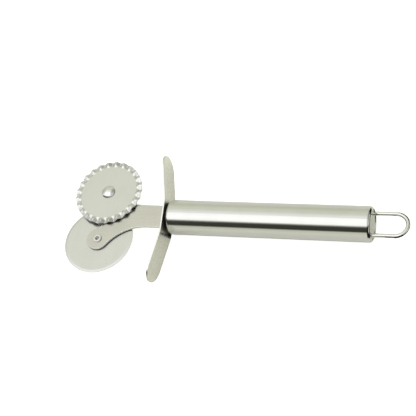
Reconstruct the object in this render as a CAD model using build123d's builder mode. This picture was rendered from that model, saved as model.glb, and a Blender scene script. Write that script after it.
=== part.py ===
"""Double pastry cutter wheel, lying on its round handle.

Frame: millimetres, +Z up. +X runs along the handle from the wheels to the hanging loop, and +Y along the finger
guard. The origin is the centre of the bottom of the whole object's box. The handle's axis is HANDLE_R above it and
HEAD_OFFSET to its +Y side. The plate, both wheels and the loop are parallel, and turned HEAD_ROLL degrees about that
axis against the guard.
"""
import math
import os

from build123d import *

# ---- whole object ----
LENGTH = 186.0            # front of the wheels to the end of the loop
HEAD_ROLL = 12.6          # turn of plate, wheels and loop about the handle's axis, degrees
HEAD_OFFSET = 1.0         # handle's axis off the middle line of the guard and the two pivots

# ---- handle tube, its caps and what they hold ----
HANDLE_R = 9.2
TUBE_WALL = 0.8
TUBE_FRONT_X = -34.35
TUBE_REAR_X = 74.5
RIM_R = 1.7               # outside radius of the rolled-in ends
CAP_FIT = 0.05            # gap round a cap or plug inside the tube
CAP_T = 1.0
SKIRT_LENGTH = 6.0
CAP_ROUND = 0.6           # rounded edge of the rear cap's shoulder
REAR_SEAT = 1.5           # rear cap's shoulder below the tube's rim
REAR_RECESS = 0.35        # rear cap's raised face below the tube's rim
FACE_ROUND = 0.25         # rounded edge of the raised face
BOSS_R = 7.35             # front cap's boss, which carries the guard
PLUG_LENGTH = 34.0        # filler round the tang
ANCHOR_T = 1.5            # plate that keeps the loop in the rear cap

# ---- cutting head ----
PLAIN_R = 19.5
FLUTED_R = 19.1           # the pressed waves draw the rim in
WHEEL_Y = 14.0            # half the distance between the pivots
SHEET_T = 0.6             # wheel sheet
PLATE_T = 1.0
PLATE_EDGE = 0.15         # chamfer of the plate's outline
ARM_END_R = 6.2           # round end of each arm
STEM_HALF = 6.65
TANG_HALF = 5.0
NEAR_WEB_R = 25.0         # web curve to the plain wheel's arm
FAR_WEB_R = 17.0          # web curve to the fluted wheel's arm
CROTCH_LEAD = 8.0         # centre of the notch, ahead of the pivots
PLAIN_GAP = 0.4           # plate to plain wheel
FLUTED_GAP = 1.1          # plate to the flat of the fluted wheel
END_FLOAT = 0.05          # play of a wheel along its pivot, each side
BEVEL_WIDTH = 1.4         # ground edge of the plain wheel
EDGE_T = 0.16             # sheet left at the ground edge

# ---- flutes ----
FLUTES = 24
FLUTE_START_R = 15.9
FLUTE_FULL_R = 17.3
FLUTE_RISE = 0.65         # the wave's height to each side of the sheet
FLUTE_SHARPNESS = 0.9     # 0 for a sine wave, 1 for a zigzag
WAVE_POINTS = 8           # points along one wave

# ---- shoulder rivets and spacers ----
PIVOT_R = 2.0             # shoulder that the wheel turns on
NECK_R = 1.6              # shank through the plate
RUNNING_GAP = 0.05        # radial clearance of a wheel on its shoulder
HOLE_FIT = 0.02           # clearance round a fixed piece in its hole
SPACER_R = 4.2
DOME_R = 3.75
DOME_EDGE = 0.3           # straight side under the dome
DOME_RISE = 1.6
TAIL_R = 2.8
TAIL_T = 0.9
ROLLED_END_R = 2.3        # rolled end of the tubular rivet
ROLLED_END_T = 0.8
RIVET_BORE_R = 1.0
RIVET_BORE_DEPTH = 1.8
FLAT_HEAD_R = 3.3
FLAT_HEAD_T = 1.0
RIVET_ROUND = 0.3         # rounded edge of the formed ends

# ---- finger guard ----
GUARD_GAP = 1.6           # guard's back face to the handle's rim
GUARD_T = 0.8
GUARD_HALF = 34.8
GUARD_HALF_WIDTH = 7.9
GUARD_FLAT = 7.5          # half length of the flat centre
GUARD_BEND_R = 15.0
GUARD_ANGLE = 10.9        # each arm's lean towards the wheels, degrees
GUARD_TIP_R = 7.2

# ---- hanging loop ----
WIRE_R = 1.05
LEG_Y = 6.25
UPSET_R = 1.6             # hammered end of each leg
UPSET_T = 1.2

# ---- planes and shared heights ----
half_length = LENGTH / 2
wheel_x = PLAIN_R - half_length
fluted_y = WHEEL_Y - HEAD_OFFSET
plain_y = -WHEEL_Y - HEAD_OFFSET
axis_point = Vector(0, HEAD_OFFSET, HANDLE_R)
middle_point = Vector(0, 0, HANDLE_R)
roll = math.radians(HEAD_ROLL)

head = Plane(origin=axis_point, x_dir=(1, 0, 0), z_dir=(0, math.sin(roll), math.cos(roll)))
level = Plane(origin=middle_point, x_dir=(1, 0, 0), z_dir=(0, 0, 1))
across = Plane(origin=axis_point, x_dir=(0, 1, 0), z_dir=(1, 0, 0))
across_guard = Plane(origin=middle_point, x_dir=(0, 1, 0), z_dir=(1, 0, 0))
across_head = Plane(origin=axis_point, x_dir=head.y_dir, z_dir=(1, 0, 0))
side = Plane(origin=axis_point, x_dir=(1, 0, 0), z_dir=(0, -1, 0))
handle_axis = Axis(axis_point, (1, 0, 0))

plate_top = PLATE_T / 2
fluted_low = plate_top + FLUTED_GAP
fluted_high = fluted_low + SHEET_T
plain_high = -plate_top - PLAIN_GAP
plain_low = plain_high - SHEET_T

cap_r = HANDLE_R - TUBE_WALL - CAP_FIT
lip_r = HANDLE_R - RIM_R
guard_back_x = TUBE_FRONT_X - GUARD_GAP
front_cap_x = TUBE_FRONT_X + RIM_R
stem_end_x = guard_back_x - GUARD_T
cap_inner_x = front_cap_x + CAP_T
plug_x = front_cap_x + SKIRT_LENGTH
tang_end_x = plug_x + PLUG_LENGTH - CAP_T
rear_cap_x = TUBE_REAR_X - REAR_SEAT
rear_face_x = TUBE_REAR_X - REAR_RECESS
rear_skirt_x = rear_cap_x - SKIRT_LENGTH
anchor_x = rear_skirt_x - ANCHOR_T

os.makedirs("parts", exist_ok=True)


def save(part, name):
    """Label a finished piece and write it to its own STEP file."""
    part.label = name
    export_step(part, f"parts/{name}.step")


def pivot_plane(y):
    """Plane of a wheel's pivot on the head, level with the middle of the plate."""
    return Plane(origin=head.from_local_coords((wheel_x, y, 0)), x_dir=head.x_dir, z_dir=head.z_dir)


def turning_plane(pivot):
    """Plane through a pivot's axis, with the radius along its x and the axis along its y."""
    return Plane(origin=pivot.origin, x_dir=pivot.x_dir, z_dir=-pivot.y_dir)


fluted_pivot = pivot_plane(fluted_y)
plain_pivot = pivot_plane(plain_y)
fluted_axis = Axis(fluted_pivot.origin, head.z_dir)
plain_axis = Axis(plain_pivot.origin, head.z_dir)


# ---- fork plate: a flat Y, with the tang that runs into the handle ----
def web_arc(edge_y, arm_y, web_r):
    """Arc from the stem's straight edge to an arm's round end, tangent to both, as start, middle and end."""
    centre_y = edge_y + math.copysign(web_r, arm_y)
    reach = web_r + ARM_END_R
    arm = Vector(wheel_x, arm_y)
    centre = Vector(wheel_x + math.sqrt(reach**2 - (centre_y - arm_y) ** 2), centre_y)
    start = Vector(centre.X, edge_y)
    end = arm + (centre - arm) * (ARM_END_R / reach)
    middle = centre + ((start - centre) + (end - centre)).normalized() * web_r
    return start, middle, end


def arm_points(arm_y):
    """Front corner point of an arm's round end, and the point where the notch leaves it."""
    outward = math.copysign(1, arm_y)
    arm = Vector(wheel_x, arm_y)
    corner = arm + Vector(-1, outward).normalized() * ARM_END_R
    notch = arm + (notch_centre - arm).normalized() * ARM_END_R
    return corner, notch


notch_centre = Vector(wheel_x - CROTCH_LEAD, -HEAD_OFFSET)
notch_r = math.hypot(CROTCH_LEAD, WHEEL_Y) - ARM_END_R
far_start, far_middle, far_end = web_arc(STEM_HALF, fluted_y, FAR_WEB_R)
near_start, near_middle, near_end = web_arc(-STEM_HALF, plain_y, NEAR_WEB_R)
far_corner, far_notch = arm_points(fluted_y)
near_corner, near_notch = arm_points(plain_y)

with BuildPart() as fork_plate:
    with BuildSketch(head.offset(-plate_top)):
        with BuildLine():
            Polyline(
                far_start,
                (stem_end_x, STEM_HALF),
                (stem_end_x, TANG_HALF),
                (tang_end_x, TANG_HALF),
                (tang_end_x, -TANG_HALF),
                (stem_end_x, -TANG_HALF),
                (stem_end_x, -STEM_HALF),
                near_start,
            )
            ThreePointArc(near_start, near_middle, near_end)
            ThreePointArc(near_end, near_corner, near_notch)
            ThreePointArc(near_notch, notch_centre + Vector(notch_r, 0), far_notch)
            ThreePointArc(far_notch, far_corner, far_end)
            ThreePointArc(far_end, far_middle, far_start)
        make_face()
        with Locations((wheel_x, fluted_y), (wheel_x, plain_y)):
            Circle(NECK_R + HOLE_FIT, mode=Mode.SUBTRACT)
    extrude(amount=PLATE_T)
    faces = fork_plate.faces().sort_by(Axis(axis_point, head.z_dir))
    chamfer(faces[0].outer_wire().edges() + faces[-1].outer_wire().edges(), PLATE_EDGE)
save(fork_plate.part, "fork_plate")

# ---- fluted wheel: a flat disc whose rim is pressed into radial waves ----
half_pitch = math.pi / FLUTES


def wave_edge(width, rise, height):
    """One full wave across a flute, with its crest in the middle and rounded corners."""
    points = []
    for step in range(WAVE_POINTS + 1):
        share = step / WAVE_POINTS - 0.5
        swing = math.asin(FLUTE_SHARPNESS * math.cos(2 * math.pi * share)) / math.asin(FLUTE_SHARPNESS)
        points.append((share * width, rise * swing + height))
    return Spline(points, tangents=[(1, 0), (1, 0)])


with BuildPart() as flute:
    trim_r = FLUTED_R + SHEET_T
    for radius, rise in ((FLUTE_START_R, 0), (FLUTE_FULL_R, FLUTE_RISE), (trim_r, FLUTE_RISE)):
        with BuildSketch(Plane.YZ.offset(radius)):
            with BuildLine():
                width = 2 * radius * math.tan(half_pitch)
                crest = wave_edge(width, rise, SHEET_T / 2)
                under = wave_edge(width, rise, -SHEET_T / 2)
                Line(crest @ 0, under @ 0)
                Line(crest @ 1, under @ 1)
            make_face()
    loft(ruled=True)

fluted_middle = fluted_pivot.offset(fluted_low + SHEET_T / 2)
with BuildPart(fluted_middle) as fluted_wheel:
    with BuildSketch(fluted_middle.offset(-SHEET_T / 2)):
        RegularPolygon(FLUTE_START_R, FLUTES, major_radius=False, rotation=180 / FLUTES)
    extrude(amount=SHEET_T)
    with PolarLocations(0, FLUTES):
        add(flute.part)
    Cylinder(FLUTED_R, 4 * (FLUTE_RISE + SHEET_T), mode=Mode.INTERSECT)
    Hole(PIVOT_R + RUNNING_GAP)
save(fluted_wheel.part, "fluted_wheel")

# ---- plain wheel: a flat disc ground to an edge from both sides ----
with BuildPart() as plain_wheel:
    with BuildSketch(turning_plane(plain_pivot)):
        with BuildLine():
            hub_r = PIVOT_R + RUNNING_GAP
            middle = (plain_low + plain_high) / 2
            Polyline(
                (hub_r, plain_low),
                (PLAIN_R - BEVEL_WIDTH, plain_low),
                (PLAIN_R, middle - EDGE_T / 2),
                (PLAIN_R, middle + EDGE_T / 2),
                (PLAIN_R - BEVEL_WIDTH, plain_high),
                (hub_r, plain_high),
                close=True,
            )
        make_face()
    revolve(axis=plain_axis)
save(plain_wheel.part, "plain_wheel")


# ---- spacers: washers on the rivets' shoulders, between plate and wheel ----
def spacer(pivot, low, thickness):
    """Washer round a rivet's shoulder, from a height above the middle of the plate."""
    with BuildPart() as washer:
        with BuildSketch(pivot.offset(low)):
            Circle(SPACER_R)
            Circle(PIVOT_R + HOLE_FIT, mode=Mode.SUBTRACT)
        extrude(amount=thickness)
    return washer.part


save(spacer(fluted_pivot, plate_top, FLUTED_GAP - END_FLOAT), "fluted_spacer")
save(spacer(plain_pivot, plain_high + END_FLOAT, PLAIN_GAP - END_FLOAT), "plain_spacer")

# ---- fluted wheel's rivet: domed head in front, peened tail behind the plate ----
dome_low = fluted_high + END_FLOAT
dome_side = dome_low + DOME_EDGE
dome_ball_r = (DOME_R**2 + DOME_RISE**2) / (2 * DOME_RISE)
tail_low = -plate_top - TAIL_T

with BuildPart() as fluted_rivet:
    with BuildSketch(turning_plane(fluted_pivot)):
        with BuildLine():
            RadiusArc((0, dome_side + DOME_RISE), (DOME_R, dome_side), dome_ball_r)
            Polyline(
                (DOME_R, dome_side),
                (DOME_R, dome_low),
                (PIVOT_R, dome_low),
                (PIVOT_R, plate_top),
                (NECK_R, plate_top),
                (NECK_R, -plate_top),
                (TAIL_R, -plate_top),
                (TAIL_R, tail_low),
                (0, tail_low),
                (0, dome_side + DOME_RISE),
            )
        make_face()
    revolve(axis=fluted_axis)
    tail_rim = fluted_rivet.edges().filter_by(GeomType.CIRCLE).sort_by(fluted_axis)[0]
    fillet(tail_rim, RIVET_ROUND)
save(fluted_rivet.part, "fluted_rivet")

# ---- plain wheel's rivet: flat head behind the wheel, hollow rolled end in front of the plate ----
rolled_top = plate_top + ROLLED_END_T
flat_head_top = plain_low - END_FLOAT
flat_head_low = flat_head_top - FLAT_HEAD_T

with BuildPart() as plain_rivet:
    with BuildSketch(turning_plane(plain_pivot)):
        with BuildLine():
            Polyline(
                (0, flat_head_low),
                (FLAT_HEAD_R, flat_head_low),
                (FLAT_HEAD_R, flat_head_top),
                (PIVOT_R, flat_head_top),
                (PIVOT_R, -plate_top),
                (NECK_R, -plate_top),
                (NECK_R, plate_top),
                (ROLLED_END_R, plate_top),
                (ROLLED_END_R, rolled_top),
                (RIVET_BORE_R, rolled_top),
                (RIVET_BORE_R, rolled_top - RIVET_BORE_DEPTH),
                (0, rolled_top - RIVET_BORE_DEPTH),
                close=True,
            )
        make_face()
    revolve(axis=plain_axis)
    rims = plain_rivet.edges().filter_by(GeomType.CIRCLE).group_by(plain_axis)
    fillet(rims[0] + rims[-1], RIVET_ROUND)
save(plain_rivet.part, "plain_rivet")

# ---- finger guard: a strip across the stem with its arms leaning towards the wheels ----
lean = math.radians(GUARD_ANGLE)
guard_x = guard_back_x - GUARD_T / 2
bend_end_y = GUARD_FLAT + GUARD_BEND_R * math.sin(lean)
bend_end_x = guard_x - GUARD_BEND_R * (1 - math.cos(lean))
tip_x = bend_end_x - (GUARD_HALF - bend_end_y) * math.tan(lean)

with BuildPart() as finger_guard:
    with BuildSketch(level.offset(-GUARD_HALF_WIDTH)):
        with BuildLine():
            Line((guard_x, 0), (guard_x, GUARD_FLAT))
            bend = TangentArc((guard_x, GUARD_FLAT), (bend_end_x, bend_end_y), tangent=(0, 1))
            Line(bend @ 1, (tip_x, GUARD_HALF))
            mirror(about=Plane.XZ)
        trace(line_width=GUARD_T)
    extrude(amount=2 * GUARD_HALF_WIDTH)
    with BuildSketch(across_guard.offset(guard_back_x)):
        RectangleRounded(2 * GUARD_HALF, 2 * GUARD_HALF_WIDTH, GUARD_TIP_R)
    extrude(amount=tip_x - GUARD_T - guard_back_x, mode=Mode.INTERSECT)
    with BuildSketch(across_head.offset(guard_back_x)):
        Rectangle(2 * (TANG_HALF + HOLE_FIT), PLATE_T + 2 * HOLE_FIT)
    extrude(amount=2 * GUARD_T, both=True, mode=Mode.SUBTRACT)
save(finger_guard.part, "finger_guard")

# ---- handle tube: both ends rolled in to a lip ----
tube_length = TUBE_REAR_X - TUBE_FRONT_X
tube_middle_x = (TUBE_REAR_X + TUBE_FRONT_X) / 2

with BuildPart() as handle_tube:
    with BuildSketch(side):
        with Locations((tube_middle_x, 0)):
            RectangleRounded(tube_length, 2 * HANDLE_R, RIM_R)
            RectangleRounded(
                tube_length - 2 * TUBE_WALL,
                2 * (HANDLE_R - TUBE_WALL),
                RIM_R - TUBE_WALL,
                mode=Mode.SUBTRACT,
            )
        with Locations((tube_middle_x, lip_r)):
            Rectangle(tube_length, 2 * HANDLE_R, align=(Align.CENTER, Align.MAX), mode=Mode.SUBTRACT)
    revolve(axis=handle_axis)
save(handle_tube.part, "handle_tube")

# ---- front cap: a cup behind the rolled rim, with a boss that meets the guard ----
with BuildPart() as front_cap:
    with BuildSketch(side):
        with BuildLine():
            Polyline(
                (guard_back_x, 0),
                (guard_back_x, BOSS_R),
                (front_cap_x, BOSS_R),
                (front_cap_x, cap_r),
                (plug_x, cap_r),
                (plug_x, cap_r - CAP_T),
                (cap_inner_x, cap_r - CAP_T),
                (cap_inner_x, 0),
                close=True,
            )
        make_face()
    revolve(axis=handle_axis)
    with BuildSketch(across_head.offset(guard_back_x)):
        Rectangle(2 * (TANG_HALF + HOLE_FIT), PLATE_T + 2 * HOLE_FIT)
    extrude(amount=cap_inner_x - guard_back_x, mode=Mode.SUBTRACT)
save(front_cap.part, "front_cap")

# ---- tang plug: filler pressed into the tube round the tang ----
with BuildPart() as tang_plug:
    with BuildSketch(across.offset(plug_x)):
        Circle(cap_r)
    extrude(amount=PLUG_LENGTH)
    with BuildSketch(across_head.offset(plug_x)):
        Rectangle(2 * (TANG_HALF + HOLE_FIT), PLATE_T + 2 * HOLE_FIT)
    extrude(amount=tang_end_x - plug_x, mode=Mode.SUBTRACT)
save(tang_plug.part, "tang_plug")

# ---- rear cap: a cup behind the rolled rim, its face raised through it and drilled for the loop's legs ----
with BuildPart() as rear_cap:
    with BuildSketch(across.offset(rear_skirt_x)):
        Circle(cap_r)
    extrude(amount=SKIRT_LENGTH)
    fillet(rear_cap.edges().sort_by(Axis.X)[-1], CAP_ROUND)
    with BuildSketch(across.offset(rear_cap_x)):
        Circle(lip_r - CAP_FIT)
    extrude(amount=rear_face_x - rear_cap_x)
    fillet(rear_cap.edges().sort_by(Axis.X)[-1], FACE_ROUND)
    with BuildSketch(across.offset(rear_skirt_x)):
        Circle(cap_r - CAP_T)
    extrude(amount=SKIRT_LENGTH - CAP_T, mode=Mode.SUBTRACT)
    with BuildSketch(across_head.offset(rear_face_x)):
        with Locations((LEG_Y, 0), (-LEG_Y, 0)):
            Circle(WIRE_R + HOLE_FIT)
    extrude(amount=rear_skirt_x - rear_face_x, mode=Mode.SUBTRACT)
save(rear_cap.part, "rear_cap")

# ---- loop anchor: inner plate that the loop's legs are hammered over ----
with BuildPart() as loop_anchor:
    with BuildSketch(across_head.offset(anchor_x)):
        Circle(cap_r)
        with Locations((LEG_Y, 0), (-LEG_Y, 0)):
            Circle(WIRE_R + HOLE_FIT, mode=Mode.SUBTRACT)
    extrude(amount=ANCHOR_T)
save(loop_anchor.part, "loop_anchor")

# ---- hanging loop: a wire U, its legs hammered over behind the anchor ----
arc_x = half_length - WIRE_R - LEG_Y
upset_x = anchor_x - UPSET_T

with BuildPart() as hanging_loop:
    with BuildLine(head) as wire:
        Line((upset_x, -LEG_Y), (arc_x, -LEG_Y))
        ThreePointArc((arc_x, -LEG_Y), (arc_x + LEG_Y, 0), (arc_x, LEG_Y))
        Line((arc_x, LEG_Y), (upset_x, LEG_Y))
    with BuildSketch(across_head.offset(upset_x)):
        with Locations((-LEG_Y, 0)):
            Circle(WIRE_R)
    sweep(path=wire.wire())
    with BuildSketch(across_head.offset(upset_x)):
        with Locations((LEG_Y, 0), (-LEG_Y, 0)):
            Circle(UPSET_R)
    extrude(amount=UPSET_T)
save(hanging_loop.part, "hanging_loop")
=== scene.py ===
"""Finishes, studio and camera of the double pastry cutter wheel, in metres and in the CAD model's frame."""
import logging
import math
from dataclasses import dataclass, field
from enum import Enum
from typing import Any

import bmesh
import bpy
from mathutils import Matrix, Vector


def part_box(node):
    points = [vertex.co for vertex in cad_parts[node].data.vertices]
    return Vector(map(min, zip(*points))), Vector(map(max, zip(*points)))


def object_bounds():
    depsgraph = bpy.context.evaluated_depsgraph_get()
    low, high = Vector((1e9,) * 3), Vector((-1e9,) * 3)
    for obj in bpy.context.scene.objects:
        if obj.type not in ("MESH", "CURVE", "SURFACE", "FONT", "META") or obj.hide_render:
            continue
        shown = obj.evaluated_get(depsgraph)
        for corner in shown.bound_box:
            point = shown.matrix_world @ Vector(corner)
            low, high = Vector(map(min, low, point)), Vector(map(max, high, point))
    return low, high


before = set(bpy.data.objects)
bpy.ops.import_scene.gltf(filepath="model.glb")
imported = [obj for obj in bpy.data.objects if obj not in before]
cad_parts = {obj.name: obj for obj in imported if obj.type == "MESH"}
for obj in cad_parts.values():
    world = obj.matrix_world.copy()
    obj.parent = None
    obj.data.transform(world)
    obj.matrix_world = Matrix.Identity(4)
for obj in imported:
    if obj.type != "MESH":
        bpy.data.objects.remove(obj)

CAD_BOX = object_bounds()

LOG = logging.getLogger("pastry_cutter")

MM = 0.001
MICRON = 1e-6
HEAD_TILT = (math.radians(12.6), 0.0, 0.0)
SIDEWAYS = (0.0, math.pi / 2, 0.0)

Triple = tuple[float, float, float]
Colour = Triple
Socket = bpy.types.NodeSocket

WHITE: Colour = (1.0, 1.0, 1.0)
LAMP_WHITE: Colour = (1.0, 1.0, 0.99)


def rgba(colour: Colour) -> tuple[float, float, float, float]:
    """Returns a colour with full alpha."""
    return (*colour, 1.0)


def scaled(colour: Colour, gain: float) -> Colour:
    """Returns a colour times a gain, with each part kept to 1."""
    return tuple(min(1.0, part * gain) for part in colour)


# ---------------------------------------------------------------- node wiring


class Wiring:
    """Adds and joins nodes in one node tree."""

    def __init__(self, tree: bpy.types.NodeTree) -> None:
        """Keeps the tree that the nodes go into.

        Args:
            tree: Node tree of a material, a world or a group.
        """
        self.tree = tree

    def feed(self, socket: Socket, value: Any) -> None:
        """Joins an output to an input, or sets the input's own value.

        Args:
            socket: Input to feed.
            value: Output socket, or a plain value.
        """
        if isinstance(value, bpy.types.NodeSocket):
            self.tree.links.new(value, socket)
        else:
            socket.default_value = value

    def add(self, kind: str, inputs: dict[Any, Any] | None = None, **settings: Any) -> bpy.types.Node:
        """Adds a node.

        Args:
            kind: Node type without its "ShaderNode" prefix.
            inputs: What feeds the node's inputs, by name or index.
            **settings: Properties of the node itself.

        Returns:
            The new node.
        """
        node = self.tree.nodes.new("ShaderNode" + kind)
        for name, value in settings.items():
            setattr(node, name, value)
        for key, value in (inputs or {}).items():
            self.feed(node.inputs[key], value)
        return node

    def place(self) -> Socket:
        """Returns the place on the object, in metres."""
        return self.add("TexCoord").outputs["Object"]

    def math(self, operation: str, *values: Any) -> Socket:
        """Returns the result of a Math node on one to three values."""
        return self.add("Math", dict(enumerate(values)), operation=operation).outputs[0]

    def vector(self, operation: str, *values: Any) -> bpy.types.Node:
        """Returns a Vector Math node on one or two values."""
        return self.add("VectorMath", dict(enumerate(values)), operation=operation)

    def turned(self, vector: Socket, rotation: Any) -> Socket:
        """Returns a vector turned by Euler angles."""
        inputs = {"Vector": vector, "Rotation": rotation}
        return self.add("VectorRotate", inputs, rotation_type="EULER_XYZ").outputs[0]

    def remap(self, value: Socket, low: Any, high: Any, to_low: Any = 0.0, to_high: Any = 1.0) -> Socket:
        """Maps one range smoothly and with clamping onto another.

        Args:
            value: Socket to map.
            low: Start of its range.
            high: End of its range.
            to_low: Result at the start.
            to_high: Result at the end.

        Returns:
            The mapped value.
        """
        inputs = {"Value": value, "From Min": low, "From Max": high, "To Min": to_low, "To Max": to_high}
        return self.add("MapRange", inputs, interpolation_type="SMOOTHSTEP").outputs["Result"]

    def mix(self, factor: Any, first: Any, second: Any) -> Socket:
        """Mixes two colours.

        Args:
            factor: Share of the second colour.
            first: First colour.
            second: Second colour.

        Returns:
            The mixed colour.
        """
        node = self.add("Mix", data_type="RGBA", blend_type="MIX")
        for index, value in {0: factor, 6: first, 7: second}.items():
            self.feed(node.inputs[index], value)
        return node.outputs[2]

    def noise(self, vector: Socket, scale: Any, detail: float, roughness: float = 0.5) -> Socket:
        """Returns the value of a Noise texture."""
        inputs = {"Vector": vector, "Scale": scale, "Detail": detail, "Roughness": roughness}
        return self.add("TexNoise", inputs).outputs["Fac"]

    def bump(self, height: Socket, distance: float, normal: Socket | None = None) -> Socket:
        """Returns a normal bent by a height over a distance in metres."""
        inputs = {"Height": height, "Distance": distance, "Strength": 1.0}
        if normal is not None:
            inputs["Normal"] = normal
        return self.add("Bump", inputs).outputs[0]


# ---------------------------------------------------------------- shared effects


class SocketKind(Enum):
    """Kinds of socket that the effect groups have."""

    VALUE = "NodeSocketFloat"
    VECTOR = "NodeSocketVector"


class Effect:
    """One node group with named inputs and outputs, which several materials share."""

    name: str = ""
    inputs: dict[str, SocketKind] = {}
    outputs: tuple[str, ...] = ()

    def __init__(self) -> None:
        """Makes the group and its sockets, and wires its inside."""
        self.group = bpy.data.node_groups.new(self.name, "ShaderNodeTree")
        for label, kind in self.inputs.items():
            self.group.interface.new_socket(name=label, in_out="INPUT", socket_type=kind.value)
        for label in self.outputs:
            self.group.interface.new_socket(name=label, in_out="OUTPUT", socket_type=SocketKind.VALUE.value)
        wiring = Wiring(self.group)
        source = self.group.nodes.new("NodeGroupInput")
        target = self.group.nodes.new("NodeGroupOutput")
        for label, socket in self.wire(wiring, source.outputs).items():
            wiring.feed(target.inputs[label], socket)

    def wire(self, wiring: Wiring, given: Any) -> dict[str, Socket]:
        """Wires the inside of the group.

        Args:
            wiring: Wiring of the group's own tree.
            given: Sockets that carry the group's inputs.

        Returns:
            What feeds each of the group's outputs, by name.
        """
        raise NotImplementedError

    def placed(self, wiring: Wiring, **values: Any) -> Any:
        """Places the group in a material.

        Args:
            wiring: Wiring of the material.
            **values: Values for the group's inputs, with _ for a space.

        Returns:
            The placed group's outputs.
        """
        node = wiring.add("Group", node_tree=self.group)
        for label, value in values.items():
            wiring.feed(node.inputs[label.replace("_", " ")], value)
        return node.outputs


class BrushedGrain(Effect):
    """Fine lines that brushing or rolling leaves along one direction."""

    name = "brushed_grain"
    inputs = {"Turn": SocketKind.VECTOR, "Pitch": SocketKind.VECTOR}
    outputs = ("Height", "Streak")
    streak_scale = 0.22
    streak_range = (0.3, 0.7)

    def wire(self, wiring: Wiring, given: Any) -> dict[str, Socket]:
        """Stretches two noises along the grain: fine lines, and broader streaks that show from afar."""
        turned = wiring.turned(wiring.place(), given["Turn"])
        lines = wiring.vector("MULTIPLY", turned, given["Pitch"]).outputs[0]
        fine = wiring.noise(lines, 1.0, detail=4.0, roughness=0.65)
        broad = wiring.noise(lines, self.streak_scale, detail=3.0, roughness=0.6)
        return {"Height": fine, "Streak": wiring.remap(broad, *self.streak_range)}


class TurnedMarks(Effect):
    """Rings that a lathe or a grinding stone leaves round an axis."""

    name = "turned_marks"
    inputs = {"Centre": SocketKind.VECTOR, "Turn": SocketKind.VECTOR, "Pitch": SocketKind.VALUE}
    outputs = ("Height", "Ring")
    change_round_axis = 0.6
    ring_scale = 0.3
    ring_range = (0.3, 0.7)

    def wire(self, wiring: Wiring, given: Any) -> dict[str, Socket]:
        """Measures the distance from the axis and runs a noise over it, drawn out round the axis."""
        local = wiring.vector("SUBTRACT", wiring.place(), given["Centre"]).outputs[0]
        x, y, z = wiring.add("SeparateXYZ", {0: wiring.turned(local, given["Turn"])}).outputs
        squares = [wiring.math("POWER", part, 2.0) for part in (x, y)]
        radius = wiring.math("SQRT", wiring.math("ADD", *squares))
        across = wiring.math("MULTIPLY", radius, given["Pitch"])
        along = wiring.math("MULTIPLY", wiring.math("ARCTAN2", y, x), self.change_round_axis)
        drawn = wiring.add("CombineXYZ", {0: across, 1: along, 2: z}).outputs[0]
        fine = wiring.noise(drawn, 1.0, detail=3.0, roughness=0.6)
        broad = wiring.noise(drawn, self.ring_scale, detail=2.0)
        return {"Height": fine, "Ring": wiring.remap(broad, *self.ring_range)}


class HandlingMarks(Effect):
    """Smudges and hairline scratches of use and washing."""

    name = "handling_marks"
    inputs = {"Smudge Size": SocketKind.VALUE, "Scratch Pitch": SocketKind.VALUE}
    outputs = ("Smudge", "Scratch")
    smudge_range = (0.35, 0.68)
    scratch_directions = ((0.3, 0.2, 0.5), (0.3, 0.2, -0.9))
    scratch_stretches = (0.12, 0.07)
    scratch_level = 0.5
    scratch_width = 0.006
    patch_scale = 140.0
    patch_range = (0.5, 0.62)

    def wire(self, wiring: Wiring, given: Any) -> dict[str, Socket]:
        """Wires a soft noise, and thin level lines of two stretched noises that show in patches."""
        place = wiring.place()
        scale = wiring.math("DIVIDE", 1.0, given["Smudge Size"])
        smudge = wiring.noise(place, scale, detail=3.0, roughness=0.55)
        lines = []
        for direction, stretch in zip(self.scratch_directions, self.scratch_stretches):
            drawn = wiring.vector("MULTIPLY", wiring.turned(place, direction), (stretch, 1.0, 1.0)).outputs[0]
            level = wiring.noise(drawn, given["Scratch Pitch"], detail=1.0, roughness=0.4)
            distance = wiring.math("ABSOLUTE", wiring.math("SUBTRACT", level, self.scratch_level))
            lines.append(wiring.remap(distance, 0.0, self.scratch_width, 1.0, 0.0))
        patches = wiring.remap(wiring.noise(place, self.patch_scale, detail=1.0), *self.patch_range)
        scratch = wiring.math("MULTIPLY", wiring.math("MAXIMUM", *lines), patches)
        return {"Smudge": wiring.remap(smudge, *self.smudge_range), "Scratch": scratch}


class EdgeWearAndLight(Effect):
    """Mask of the edges: rubbing by shearing, hands and washing, and painted highlights and painted dark
    lines along them.
    """

    name = "edge_wear_and_light"
    inputs = {"Width": SocketKind.VALUE}
    outputs = ("Mask",)
    samples = 4
    turn_range = (0.97, 0.8)
    break_scale = 900.0
    break_range = (0.3, 0.6, 0.35, 1.0)

    def wire(self, wiring: Wiring, given: Any) -> dict[str, Socket]:
        """Compares the normal rounded over the width with the true one, and breaks the edge up with noise."""
        true = wiring.add("NewGeometry").outputs["True Normal"]
        rounded = wiring.add("Bevel", {"Radius": given["Width"]}, samples=self.samples).outputs[0]
        turn = wiring.vector("DOT_PRODUCT", true, rounded).outputs["Value"]
        edge = wiring.remap(turn, *self.turn_range)
        broken = wiring.remap(wiring.noise(wiring.place(), self.break_scale, detail=3.0), *self.break_range)
        return {"Mask": wiring.math("MULTIPLY", edge, broken)}


class RecessGrimeAndShade(Effect):
    """Mask of corners and gaps: a dull washing film there, and the painted shade that darkens them."""

    name = "recess_grime_and_shade"
    inputs = {"Reach": SocketKind.VALUE}
    outputs = ("Mask",)
    samples = 6
    open_range = (0.75, 0.2)
    mottle_scale = 1200.0
    mottle_range = (0.2, 0.8, 0.6, 1.0)

    def wire(self, wiring: Wiring, given: Any) -> dict[str, Socket]:
        """Turns nearby occlusion into a mask with a mottled edge; the mask paints shade into recesses."""
        occlusion = wiring.add("AmbientOcclusion", {"Distance": given["Reach"]}, samples=self.samples)
        mottle = wiring.noise(wiring.place(), self.mottle_scale, detail=2.0)
        mottled = wiring.remap(mottle, *self.mottle_range)
        recess = wiring.remap(occlusion.outputs["AO"], *self.open_range)
        return {"Mask": wiring.math("MULTIPLY", recess, mottled)}


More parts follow.
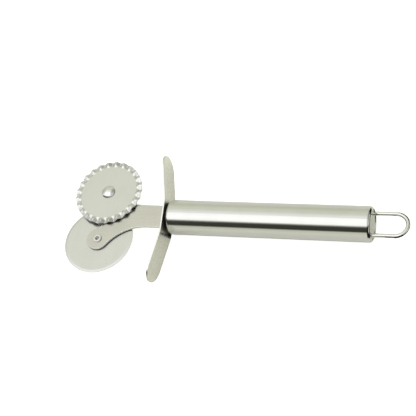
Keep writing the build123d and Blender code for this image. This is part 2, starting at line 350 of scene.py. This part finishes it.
@dataclass(frozen=True)
class Effects:
    """The shared effect groups, each built once."""

    grain: BrushedGrain = field(default_factory=BrushedGrain)
    turned: TurnedMarks = field(default_factory=TurnedMarks)
    handling: HandlingMarks = field(default_factory=HandlingMarks)
    wear_and_light: EdgeWearAndLight = field(default_factory=EdgeWearAndLight)
    grime_and_shade: RecessGrimeAndShade = field(default_factory=RecessGrimeAndShade)


# ---------------------------------------------------------------- finishes


@dataclass(frozen=True)
class BrushedLines:
    """Lines along one direction: marks per metre on each axis, and their depth in metres."""

    pitch: Triple
    depth: float
    turn: Triple = (0.0, 0.0, 0.0)

    def marks(self, effects: Effects, wiring: Wiring) -> tuple[Socket, Socket]:
        """Returns the height of the marks and their broad tone, placed in a material."""
        outputs = effects.grain.placed(wiring, Turn=self.turn, Pitch=self.pitch)
        return outputs["Height"], outputs["Streak"]


@dataclass(frozen=True)
class TurnedRings:
    """Rings round a centre: marks per metre outwards, and their depth in metres."""

    centre: Triple
    pitch: float
    depth: float
    turn: Triple = HEAD_TILT

    def marks(self, effects: Effects, wiring: Wiring) -> tuple[Socket, Socket]:
        """Returns the height of the marks and their broad tone, placed in a material."""
        outputs = effects.turned.placed(wiring, Centre=self.centre, Turn=self.turn, Pitch=self.pitch)
        return outputs["Height"], outputs["Ring"]


@dataclass(frozen=True)
class SteelFinish:
    """A stainless steel surface with tint, gloss, marks of making and use, and painted light and shade.

    wear_and_edge_light_gain brightens the edges above 1, a painted highlight, and darkens them below it, a
    painted dark line. grime is the strength of the darkening in recesses, painted shade with a dull film,
    grime_and_shade_reach how far it spreads and dirt_and_shade_tone the darkness of that shade and of the
    smudges. sag is the depth of slow waves in the surface, and sag_size their length.
    """

    name: str
    tint: Colour
    roughness: float
    working: BrushedLines | TurnedRings
    roughness_spread: float = 0.05
    tone_spread: float = 0.05
    smudge: float = 0.05
    smudge_size: float = 12 * MM
    scratch_pitch: float = 520.0
    scratch_gloss: float = 0.08
    scratch_depth: float = 0.8
    edge_radius: float = 0.12 * MM
    wear_and_edge_light_gain: float = 1.12
    grime_and_shade: float = 0.35
    grime_and_shade_gloss: float = 0.2
    grime_and_shade_reach: float = 1.2 * MM
    dirt_and_shade_tone: float = 0.3
    sag: float = 0.0
    sag_size: float = 20 * MM

    def material(self, effects: Effects) -> bpy.types.Material:
        """Builds the material.

        Args:
            effects: Shared effect groups.

        Returns:
            The finished material.
        """
        material = bpy.data.materials.new(self.name)
        material.use_nodes = True
        wiring = Wiring(material.node_tree)
        shader = material.node_tree.nodes["Principled BSDF"]
        shader.inputs["Metallic"].default_value = 1.0
        height, streak = self.working.marks(effects, wiring)
        handling = effects.handling.placed(
            wiring, Smudge_Size=self.smudge_size, Scratch_Pitch=self.scratch_pitch
        )
        # Edge mask for painted highlights and painted dark lines along the edges.
        worn_and_lit_edges = effects.wear_and_light.placed(wiring, Width=self.edge_radius * 2)["Mask"]
        # Occlusion mask for painted shade in recesses.
        grime_and_shade = effects.grime_and_shade.placed(wiring, Reach=self.grime_and_shade_reach)["Mask"]
        wiring.feed(shader.inputs["Base Color"], self.colour(wiring, streak, handling["Smudge"], grime_and_shade, worn_and_lit_edges))
        wiring.feed(shader.inputs["Roughness"], self.gloss(wiring, streak, handling, grime_and_shade))
        wiring.feed(shader.inputs["Normal"], self.relief(wiring, height, handling["Scratch"]))
        return material

    def colour(self, wiring: Wiring, streak: Socket, smudge: Socket, grime_and_shade: Socket, worn_and_lit_edges: Socket) -> Socket:
        """Layers tone, smudges, a film with painted shade in recesses, and rubbed edges with painted
        highlights and dark lines.

        Args:
            wiring: Wiring of the material.
            streak: Broad tone of the marks.
            smudge: Mask of the smudges.
            grime_and_shade: Mask of the recesses, which paints shade into them.
            worn_and_lit_edges: Mask of the edges, which carries painted highlights and painted dark lines.

        Returns:
            The surface's colour.
        """
        # A darker copy of the tint: the colour of smudges and of the painted shade in recesses.
        dull = rgba(scaled(self.tint, self.dirt_and_shade_tone))
        colour = wiring.mix(streak, rgba(scaled(self.tint, 1.0 - self.tone_spread)), rgba(self.tint))
        colour = wiring.mix(wiring.math("MULTIPLY", smudge, self.smudge), colour, dull)
        # Painted shade: recesses darkened by their occlusion.
        colour = wiring.mix(wiring.math("MULTIPLY", grime_and_shade, self.grime_and_shade), colour, dull)
        # Edges lightened above a gain of 1 as a painted highlight, darkened below it as a painted dark line.
        return wiring.mix(worn_and_lit_edges, colour, rgba(scaled(self.tint, self.wear_and_edge_light_gain)))

    def gloss(self, wiring: Wiring, streak: Socket, handling: Any, grime_and_shade: Socket) -> Socket:
        """Adds up what roughens the surface.

        Args:
            wiring: Wiring of the material.
            streak: Broad tone of the marks.
            handling: Outputs of the handling marks.
            grime_and_shade: Mask of the recesses, the same one that paints shade into them.

        Returns:
            The surface's roughness.
        """
        spread = self.roughness_spread
        gloss = wiring.remap(streak, 0.0, 1.0, self.roughness + spread, self.roughness - spread)
        shares = (
            (handling["Smudge"], spread),
            (handling["Scratch"], self.scratch_gloss),
            (grime_and_shade, self.grime_and_shade_gloss),
        )
        for mask, share in shares:
            gloss = wiring.math("ADD", gloss, wiring.math("MULTIPLY", mask, share))
        return gloss

    def relief(self, wiring: Wiring, height: Socket, scratch: Socket) -> Socket:
        """Rounds the edges and bends the surface by its slow waves, its marks and its scratches.

        Args:
            wiring: Wiring of the material.
            height: Height of the marks.
            scratch: Mask of the scratches.

        Returns:
            The surface's normal.
        """
        normal = wiring.add("Bevel", {"Radius": self.edge_radius}, samples=EdgeWearAndLight.samples).outputs[0]
        cut = wiring.math("SUBTRACT", height, wiring.math("MULTIPLY", scratch, self.scratch_depth))
        if self.sag > 0:
            swell = wiring.noise(wiring.place(), 1.0 / self.sag_size, detail=1.0)
            normal = wiring.bump(swell, self.sag, normal)
        return wiring.bump(cut, self.working.depth, normal)


@dataclass(frozen=True)
class PlasticFinish:
    """A moulded plastic with a fine spark-eroded texture."""

    name: str
    tint: Colour
    roughness: float = 0.5
    specular: float = 0.5
    shade: float = 0.8
    smudge_size: float = 6 * MM
    scratch_pitch: float = 500.0
    smudge_gloss: float = 0.12
    grime_and_shade_reach: float = 1.5 * MM
    texture_pitch: float = 5000.0
    texture_depth: float = 4 * MICRON

    def material(self, effects: Effects) -> bpy.types.Material:
        """Builds the material.

        Args:
            effects: Shared effect groups.

        Returns:
            The finished material.
        """
        material = bpy.data.materials.new(self.name)
        material.use_nodes = True
        wiring = Wiring(material.node_tree)
        shader = material.node_tree.nodes["Principled BSDF"]
        shader.inputs["Specular IOR Level"].default_value = self.specular
        handling = effects.handling.placed(
            wiring, Smudge_Size=self.smudge_size, Scratch_Pitch=self.scratch_pitch
        )
        smudge = handling["Smudge"]
        grime_and_shade = effects.grime_and_shade.placed(wiring, Reach=self.grime_and_shade_reach)["Mask"]
        shade = rgba(scaled(self.tint, self.shade))
        colour = wiring.mix(smudge, rgba(self.tint), shade)
        # Recesses darkened towards the shaded tint by occlusion: painted shade.
        wiring.feed(shader.inputs["Base Color"], wiring.mix(grime_and_shade, colour, shade))
        gloss = wiring.remap(smudge, 0.0, 1.0, self.roughness, self.roughness + self.smudge_gloss)
        wiring.feed(shader.inputs["Roughness"], gloss)
        texture = wiring.noise(wiring.place(), self.texture_pitch, detail=2.0)
        wiring.feed(shader.inputs["Normal"], wiring.bump(texture, self.texture_depth))
        return material


Finish = SteelFinish | PlasticFinish


# ---------------------------------------------------------------- sub-assemblies


@dataclass
class SubAssembly:
    """Pieces that belong together, all of them meshes of the CAD model."""

    effects: Effects

    def finishes(self) -> dict[str, Finish]:
        """Returns the finish of each piece, by CAD node."""
        raise NotImplementedError

    def build(self) -> list[str]:
        """Dresses each piece in its finish.

        Returns:
            Names of the pieces.
        """
        finishes = self.finishes()
        for node, finish in finishes.items():
            material = finish.material(self.effects)
            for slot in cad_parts[node].material_slots:
                slot.material = material
        return list(finishes)


@dataclass
class CuttingHead(SubAssembly):
    """Fork plate, the two wheels, their rivets and spacers."""

    plate_tint: Colour = (0.62, 0.61, 0.57)
    wheel_tint: Colour = (0.67, 0.675, 0.655)
    rivet_tint: Colour = (0.74, 0.74, 0.73)

    def centre(self, node: str) -> Triple:
        """Returns the middle of a CAD node's box."""
        low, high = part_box(node)
        return tuple((low + high) / 2)

    def finishes(self) -> dict[str, Finish]:
        """Returns the finish of each piece, by CAD node."""
        found: dict[str, Finish] = {"fork_plate": self.plate()}
        for node in ("fluted_wheel", "plain_wheel"):
            found[node] = self.wheel(node)
        for node in ("fluted_rivet", "plain_rivet"):
            found[node] = self.rivet(node)
        for node in ("fluted_spacer", "plain_spacer"):
            found[node] = self.spacer(node)
        return found

    def plate(self) -> SteelFinish:
        """Returns satin sheet with its rolling lines along the stem, a rounded, blanked edge with a painted
        highlight, and near-black painted shade in its recesses.
        """
        return SteelFinish(
            "plate_satin_steel",
            self.plate_tint,
            roughness=0.26,
            working=BrushedLines(pitch=(80.0, 2400.0, 2400.0), depth=0.14 * MICRON, turn=HEAD_TILT),
            roughness_spread=0.02,
            tone_spread=0.03,
            edge_radius=0.6 * MM,
            # A gain above 1: painted highlight along the edges.
            wear_and_edge_light_gain=1.5,
            # Strong, near-black darkening in recesses: painted shade.
            grime_and_shade=0.95,
            grime_and_shade_reach=1.1 * MM,
            dirt_and_shade_tone=0.05,
        )

    def wheel(self, node: str) -> SteelFinish:
        """Returns smooth satin sheet with faint lines across the handle, edges darkened as a painted dark
        outline, and painted shade in its recesses.
        """
        return SteelFinish(
            f"{node}_satin_steel",
            self.wheel_tint,
            roughness=0.24,
            working=BrushedLines(pitch=(2200.0, 70.0, 2200.0), depth=0.14 * MICRON, turn=HEAD_TILT),
            roughness_spread=0.015,
            tone_spread=0.015,
            smudge=0.03,
            edge_radius=0.16 * MM,
            # A gain below 1: painted dark outline along the edges.
            wear_and_edge_light_gain=0.6,
            grime_and_shade=0.8,
            dirt_and_shade_tone=0.12,
        )

    def rivet(self, node: str) -> SteelFinish:
        """Returns polished steel with the rings of its forming tool."""
        return SteelFinish(
            f"{node}_polished_steel",
            self.rivet_tint,
            roughness=0.12,
            working=TurnedRings(self.centre(node), pitch=5000.0, depth=0.3 * MICRON),
            edge_radius=0.08 * MM,
            wear_and_edge_light_gain=1.0,
            # Strong darkening in recesses round the heads: painted shade.
            grime_and_shade=0.9,
            dirt_and_shade_tone=0.1,
        )

    def spacer(self, node: str) -> SteelFinish:
        """Returns plain steel with turned rings."""
        rings = TurnedRings(self.centre(node), pitch=4000.0, depth=0.4 * MICRON)
        return SteelFinish(f"{node}_plain_steel", self.plate_tint, roughness=0.42, working=rings)


@dataclass
class FingerGuard(SubAssembly):
    """Bent strip across the stem."""

    tint: Colour = (0.80, 0.795, 0.735)

    def finishes(self) -> dict[str, Finish]:
        """Returns the guard's finish, with rolling lines along the strip, sheared edges darkened as a painted
        dark line, and painted shade near the handle.
        """
        guard = SteelFinish(
            "guard_satin_steel",
            self.tint,
            roughness=0.27,
            working=BrushedLines(pitch=(2400.0, 80.0, 2400.0), depth=0.14 * MICRON),
            roughness_spread=0.02,
            tone_spread=0.03,
            edge_radius=0.22 * MM,
            # A gain well below 1: painted dark line along the edges.
            wear_and_edge_light_gain=0.3,
            # Wide darkening in recesses: painted shade at the root by the handle.
            grime_and_shade=0.6,
            grime_and_shade_reach=4.0 * MM,
            dirt_and_shade_tone=0.2,
        )
        return {"finger_guard": guard}


@dataclass
class Handle(SubAssembly):
    """Polished tube with its caps and the filler inside it."""

    tube_tint: Colour = (0.665, 0.67, 0.645)
    cap_tint: Colour = (0.74, 0.735, 0.69)
    # Near black: painted shadow of the gap behind the guard.
    shadow_black_tint: Colour = (0.006, 0.006, 0.005)
    filler_tint: Colour = (0.82, 0.80, 0.74)

    def finishes(self) -> dict[str, Finish]:
        """Returns the finish of each piece, by CAD node."""
        tube = SteelFinish(
            "tube_polished_steel",
            self.tube_tint,
            roughness=0.10,
            working=BrushedLines(pitch=(25.0, 2600.0, 2600.0), depth=0.8 * MICRON),
            roughness_spread=0.03,
            smudge=0.04,
            sag=50 * MICRON,
            sag_size=16 * MM,
        )
        low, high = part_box("rear_cap")
        rings = TurnedRings(tuple((low + high) / 2), pitch=3000.0, depth=0.5 * MICRON, turn=SIDEWAYS)
        return {
            "handle_tube": tube,
            "rear_cap": SteelFinish("rear_cap_turned_steel", self.cap_tint, roughness=0.24, working=rings),
            # Near-black front cap: painted shade standing in for the shadowed gap behind the guard.
            "front_cap": PlasticFinish("front_cap_painted_shadow_black", self.shadow_black_tint, specular=0.12),
            "tang_plug": PlasticFinish("plug_moulded_plastic", self.filler_tint),
        }


@dataclass
class HangingLoop(SubAssembly):
    """Wire loop and the plate inside the handle that holds it."""

    wire_tint: Colour = (0.78, 0.775, 0.75)
    anchor_tint: Colour = (0.55, 0.54, 0.50)

    def finishes(self) -> dict[str, Finish]:
        """Returns the finish of each piece, by CAD node."""
        wire = SteelFinish(
            "loop_polished_wire",
            self.wire_tint,
            roughness=0.06,
            working=BrushedLines(pitch=(120.0, 900.0, 900.0), depth=0.2 * MICRON),
            roughness_spread=0.01,
            smudge=0.06,
            wear_and_edge_light_gain=1.0,
        )
        sheet = BrushedLines(pitch=(2000.0, 90.0, 2000.0), depth=0.4 * MICRON)
        anchor = SteelFinish("anchor_plain_steel", self.anchor_tint, roughness=0.45, working=sheet)
        return {"hanging_loop": wire, "loop_anchor": anchor}


# ---------------------------------------------------------------- studio


@dataclass(frozen=True)
class SkyBand:
    """Light of the studio at one angle round the handle.

    The angle is in degrees from straight up, positive towards the plain wheel's side.
    """

    angle: float
    brightness: float
    tint: Colour = (0.98, 1.0, 0.83)

    def place(self) -> float:
        """Returns the band's place on a ramp that runs once round the handle."""
        return self.angle / 360 + 0.5

    def colour(self, brightest: float) -> tuple[float, float, float, float]:
        """Returns the band's colour as a share of the brightest band."""
        return rgba(scaled(self.tint, self.brightness / brightest))


@dataclass(frozen=True)
class Flag:
    """Black cloth, level or upright, that only polished surfaces see; corner and size in millimetres."""

    name: str
    corner: tuple[float, float]
    size: Triple
    lift: float = 0.1

    def corners(self, floor: float) -> list[Triple]:
        """Returns the four corners in metres, just above the floor's height."""
        left, near = (part * MM for part in self.corner)
        width, depth, rise = (part * MM for part in self.size)
        low = floor + self.lift * MM
        right, far, high = left + width, near + depth, low + rise
        return [(left, near, low), (right, near, low), (right, far, high), (left, far, high)]


@dataclass
class Studio:
    """Pale floor, soft box round the object, black flags and the camera.

    The glows are the floor's own light: floor_glow lights the object, camera_glow is what the camera sees.
    The dims are the soft box's share of light beyond the wheels and beyond the loop, and the fades say over
    which part of a direction along +X each sets in.
    """

    floor_half: float = 3.0
    floor_cells: int = 8
    floor_drop: float = 0.02 * MM
    floor_tone: float = 0.72
    paper_cream: Colour = (1.0, 1.0, 0.9)
    paper_grey: Colour = (0.985, 0.985, 0.985)
    paper_mottle: float = 30.0
    paper_specular: float = 0.1
    floor_roughness: float = 0.9
    floor_glow: float = 0.24
    glow_tint: Colour = (1.0, 1.0, 0.84)
    camera_glow: float = 0.80
    bands: tuple[SkyBand, ...] = (
        SkyBand(-110, 0.70),
        SkyBand(-95, 0.68),
        SkyBand(-75, 0.78),
        SkyBand(-46, 0.92),
        SkyBand(-28, 1.12, LAMP_WHITE),
        SkyBand(-12, 1.45, LAMP_WHITE),
        SkyBand(8, 1.60, LAMP_WHITE),
        SkyBand(27, 1.45, LAMP_WHITE),
        SkyBand(36, 0.30),
        SkyBand(43, 0.06),
        SkyBand(68, 0.05),
        SkyBand(76, 0.74),
        SkyBand(95, 0.86),
    )
    front_dim: float = 0.75
    front_fade: tuple[float, float] = (-0.85, -0.6)
    rear_dim: float = 0.5
    rear_fade: tuple[float, float] = (0.1, 0.5)
    flags: tuple[Flag, ...] = (
        Flag("loop_floor_flag", (84.0, -60.0), (31.0, 120.0, 0.0)),
        Flag("loop_near_flag", (76.0, -32.0), (43.0, 0.0, 30.0)),
        Flag("loop_far_flag", (86.0, 34.0), (33.0, 0.0, 20.0)),
        # Dark sheet under the tube, seen only in reflections: a painted contact shadow of the floor.
        Flag("handle_contact_shadow_flag", (-36.0, -8.7), (110.0, 17.0, 0.0)),
    )
    cloth_tones: tuple[float, float] = (0.010, 0.03)
    cloth_weave: float = 2000.0
    camera_place: Triple = (0.19407, -0.15329, 0.54881)
    camera_turn: Triple = (18.1586, 18.8666, 7.8762)
    lens: float = 98.51
    sensor: float = 36.0
    clip: tuple[float, float] = (0.01, 20.0)

    def build(self) -> list[str]:
        """Builds floor, flags, light and camera.

        Returns:
            Names of what was built.
        """
        self.floor()
        self.hang_flags()
        self.sky()
        self.camera()
        bpy.context.scene.view_settings.view_transform = "Standard"
        return ["floor", "flags", "sky", "camera"]

    def floor(self) -> None:
        """Builds the floor, level with the underside of the handle."""
        mesh = bpy.data.meshes.new("studio_floor")
        grid = bmesh.new()
        cells = self.floor_cells
        bmesh.ops.create_grid(grid, x_segments=cells, y_segments=cells, size=self.floor_half)
        grid.to_mesh(mesh)
        grid.free()
        mesh.materials.append(self.paper())
        floor = bpy.data.objects.new("studio_floor", mesh)
        floor.location.z = CAD_BOX[0].z - self.floor_drop
        bpy.context.scene.collection.objects.link(floor)

    def paper(self) -> bpy.types.Material:
        """Returns the floor's pale paper, which glows a little."""
        material = bpy.data.materials.new("floor_paper")
        material.use_nodes = True
        wiring = Wiring(material.node_tree)
        shader = material.node_tree.nodes["Principled BSDF"]
        cream = scaled(self.paper_cream, self.floor_tone)
        grey = scaled(self.paper_grey, self.floor_tone)
        mottle = wiring.noise(wiring.place(), self.paper_mottle, detail=4.0)
        wiring.feed(shader.inputs["Base Color"], wiring.mix(mottle, rgba(cream), rgba(grey)))
        shader.inputs["Roughness"].default_value = self.floor_roughness
        shader.inputs["Specular IOR Level"].default_value = self.paper_specular
        direct = wiring.add("LightPath").outputs["Is Camera Ray"]
        wiring.feed(shader.inputs["Emission Color"], wiring.mix(direct, rgba(self.glow_tint), rgba(WHITE)))
        glow = wiring.remap(direct, 0.0, 1.0, self.floor_glow, self.camera_glow)
        wiring.feed(shader.inputs["Emission Strength"], glow)
        return material

    def cloth(self) -> bpy.types.Material:
        """Returns the flags' black cloth."""
        material = bpy.data.materials.new("flag_cloth")
        material.use_nodes = True
        wiring = Wiring(material.node_tree)
        shader = material.node_tree.nodes["Principled BSDF"]
        weave = wiring.noise(wiring.place(), self.cloth_weave, detail=2.0)
        dark, light = (rgba(scaled(WHITE, tone)) for tone in self.cloth_tones)
        wiring.feed(shader.inputs["Base Color"], wiring.mix(weave, dark, light))
        shader.inputs["Roughness"].default_value = 1.0
        shader.inputs["Specular IOR Level"].default_value = 0.0
        return material

    def hang_flags(self) -> None:
        """Sets the flags that darken the wire, the guard's root and the handle's underside; the one under the
        handle is a painted contact shadow of the floor.
        """
        cloth = self.cloth()
        for flag in self.flags:
            mesh = bpy.data.meshes.new(flag.name)
            corners = flag.corners(CAD_BOX[0].z)
            mesh.from_pydata(corners, [], [range(len(corners))])
            mesh.materials.append(cloth)
            hung = bpy.data.objects.new(flag.name, mesh)
            hung.visible_camera = False
            hung.visible_diffuse = False
            hung.visible_shadow = False
            bpy.context.scene.collection.objects.link(hung)

    def sky(self) -> None:
        """Builds the soft box as bands of light round the handle's axis; the camera sees plain white."""
        world = bpy.data.worlds.new("soft_box")
        world.use_nodes = True
        bpy.context.scene.world = world
        wiring = Wiring(world.node_tree)
        direction = wiring.add("TexCoord").outputs["Generated"]
        along, across, up = wiring.add("SeparateXYZ", {0: direction}).outputs
        brightest = max(band.brightness for band in self.bands)
        front = wiring.remap(along, *self.front_fade, self.front_dim, 1.0)
        rear = wiring.remap(along, *self.rear_fade, 1.0, self.rear_dim)
        light = world.node_tree.nodes["Background"]
        wiring.feed(light.inputs["Color"], self.banded(wiring, across, up, brightest))
        ends = wiring.math("MULTIPLY", front, rear)
        wiring.feed(light.inputs["Strength"], wiring.math("MULTIPLY", ends, brightest))
        seen = wiring.add("Background", {"Color": rgba(WHITE), "Strength": 1.0})
        direct = wiring.add("LightPath").outputs["Is Camera Ray"]
        both = wiring.add("MixShader", {0: direct, 1: light.outputs[0], 2: seen.outputs[0]})
        wiring.feed(world.node_tree.nodes["World Output"].inputs["Surface"], both.outputs[0])

    def banded(self, wiring: Wiring, across: Socket, up: Socket, brightest: float) -> Socket:
        """Lays the bands on a colour ramp.

        Args:
            wiring: Wiring of the world.
            across: Direction's part along +Y.
            up: Direction's part along +Z.
            brightest: Brightness that counts as 1 on the ramp.

        Returns:
            The soft box's colour in a direction.
        """
        angle = wiring.math("ARCTAN2", wiring.math("MULTIPLY", across, -1.0), up)
        turn = wiring.math("ADD", wiring.math("DIVIDE", angle, 2 * math.pi), 0.5)
        ramp = wiring.add("ValToRGB", {"Fac": turn})
        points = ramp.color_ramp.elements
        points.remove(points[1])
        for index, band in enumerate(self.bands):
            point = points[0] if index == 0 else points.new(band.place())
            point.position = band.place()
            point.color = band.colour(brightest)
        return ramp.outputs["Color"]

    def camera(self) -> None:
        """Builds the camera."""
        data = bpy.data.cameras.new("camera")
        data.lens = self.lens
        data.sensor_width = self.sensor
        data.clip_start, data.clip_end = self.clip
        camera = bpy.data.objects.new("camera", data)
        camera.location = self.camera_place
        camera.rotation_euler = [math.radians(angle) for angle in self.camera_turn]
        bpy.context.scene.collection.objects.link(camera)
        bpy.context.scene.camera = camera


def main() -> None:
    """Builds the studio and dresses the sub-assemblies in order."""
    logging.basicConfig(level=logging.INFO, format="%(name)s: %(message)s")
    effects = Effects()
    builders = (Studio(), CuttingHead(effects), FingerGuard(effects), Handle(effects), HangingLoop(effects))
    for builder in builders:
        for piece in builder.build():
            LOG.info("%s: %s", type(builder).__name__, piece)


if __name__ == "__main__":
    main()
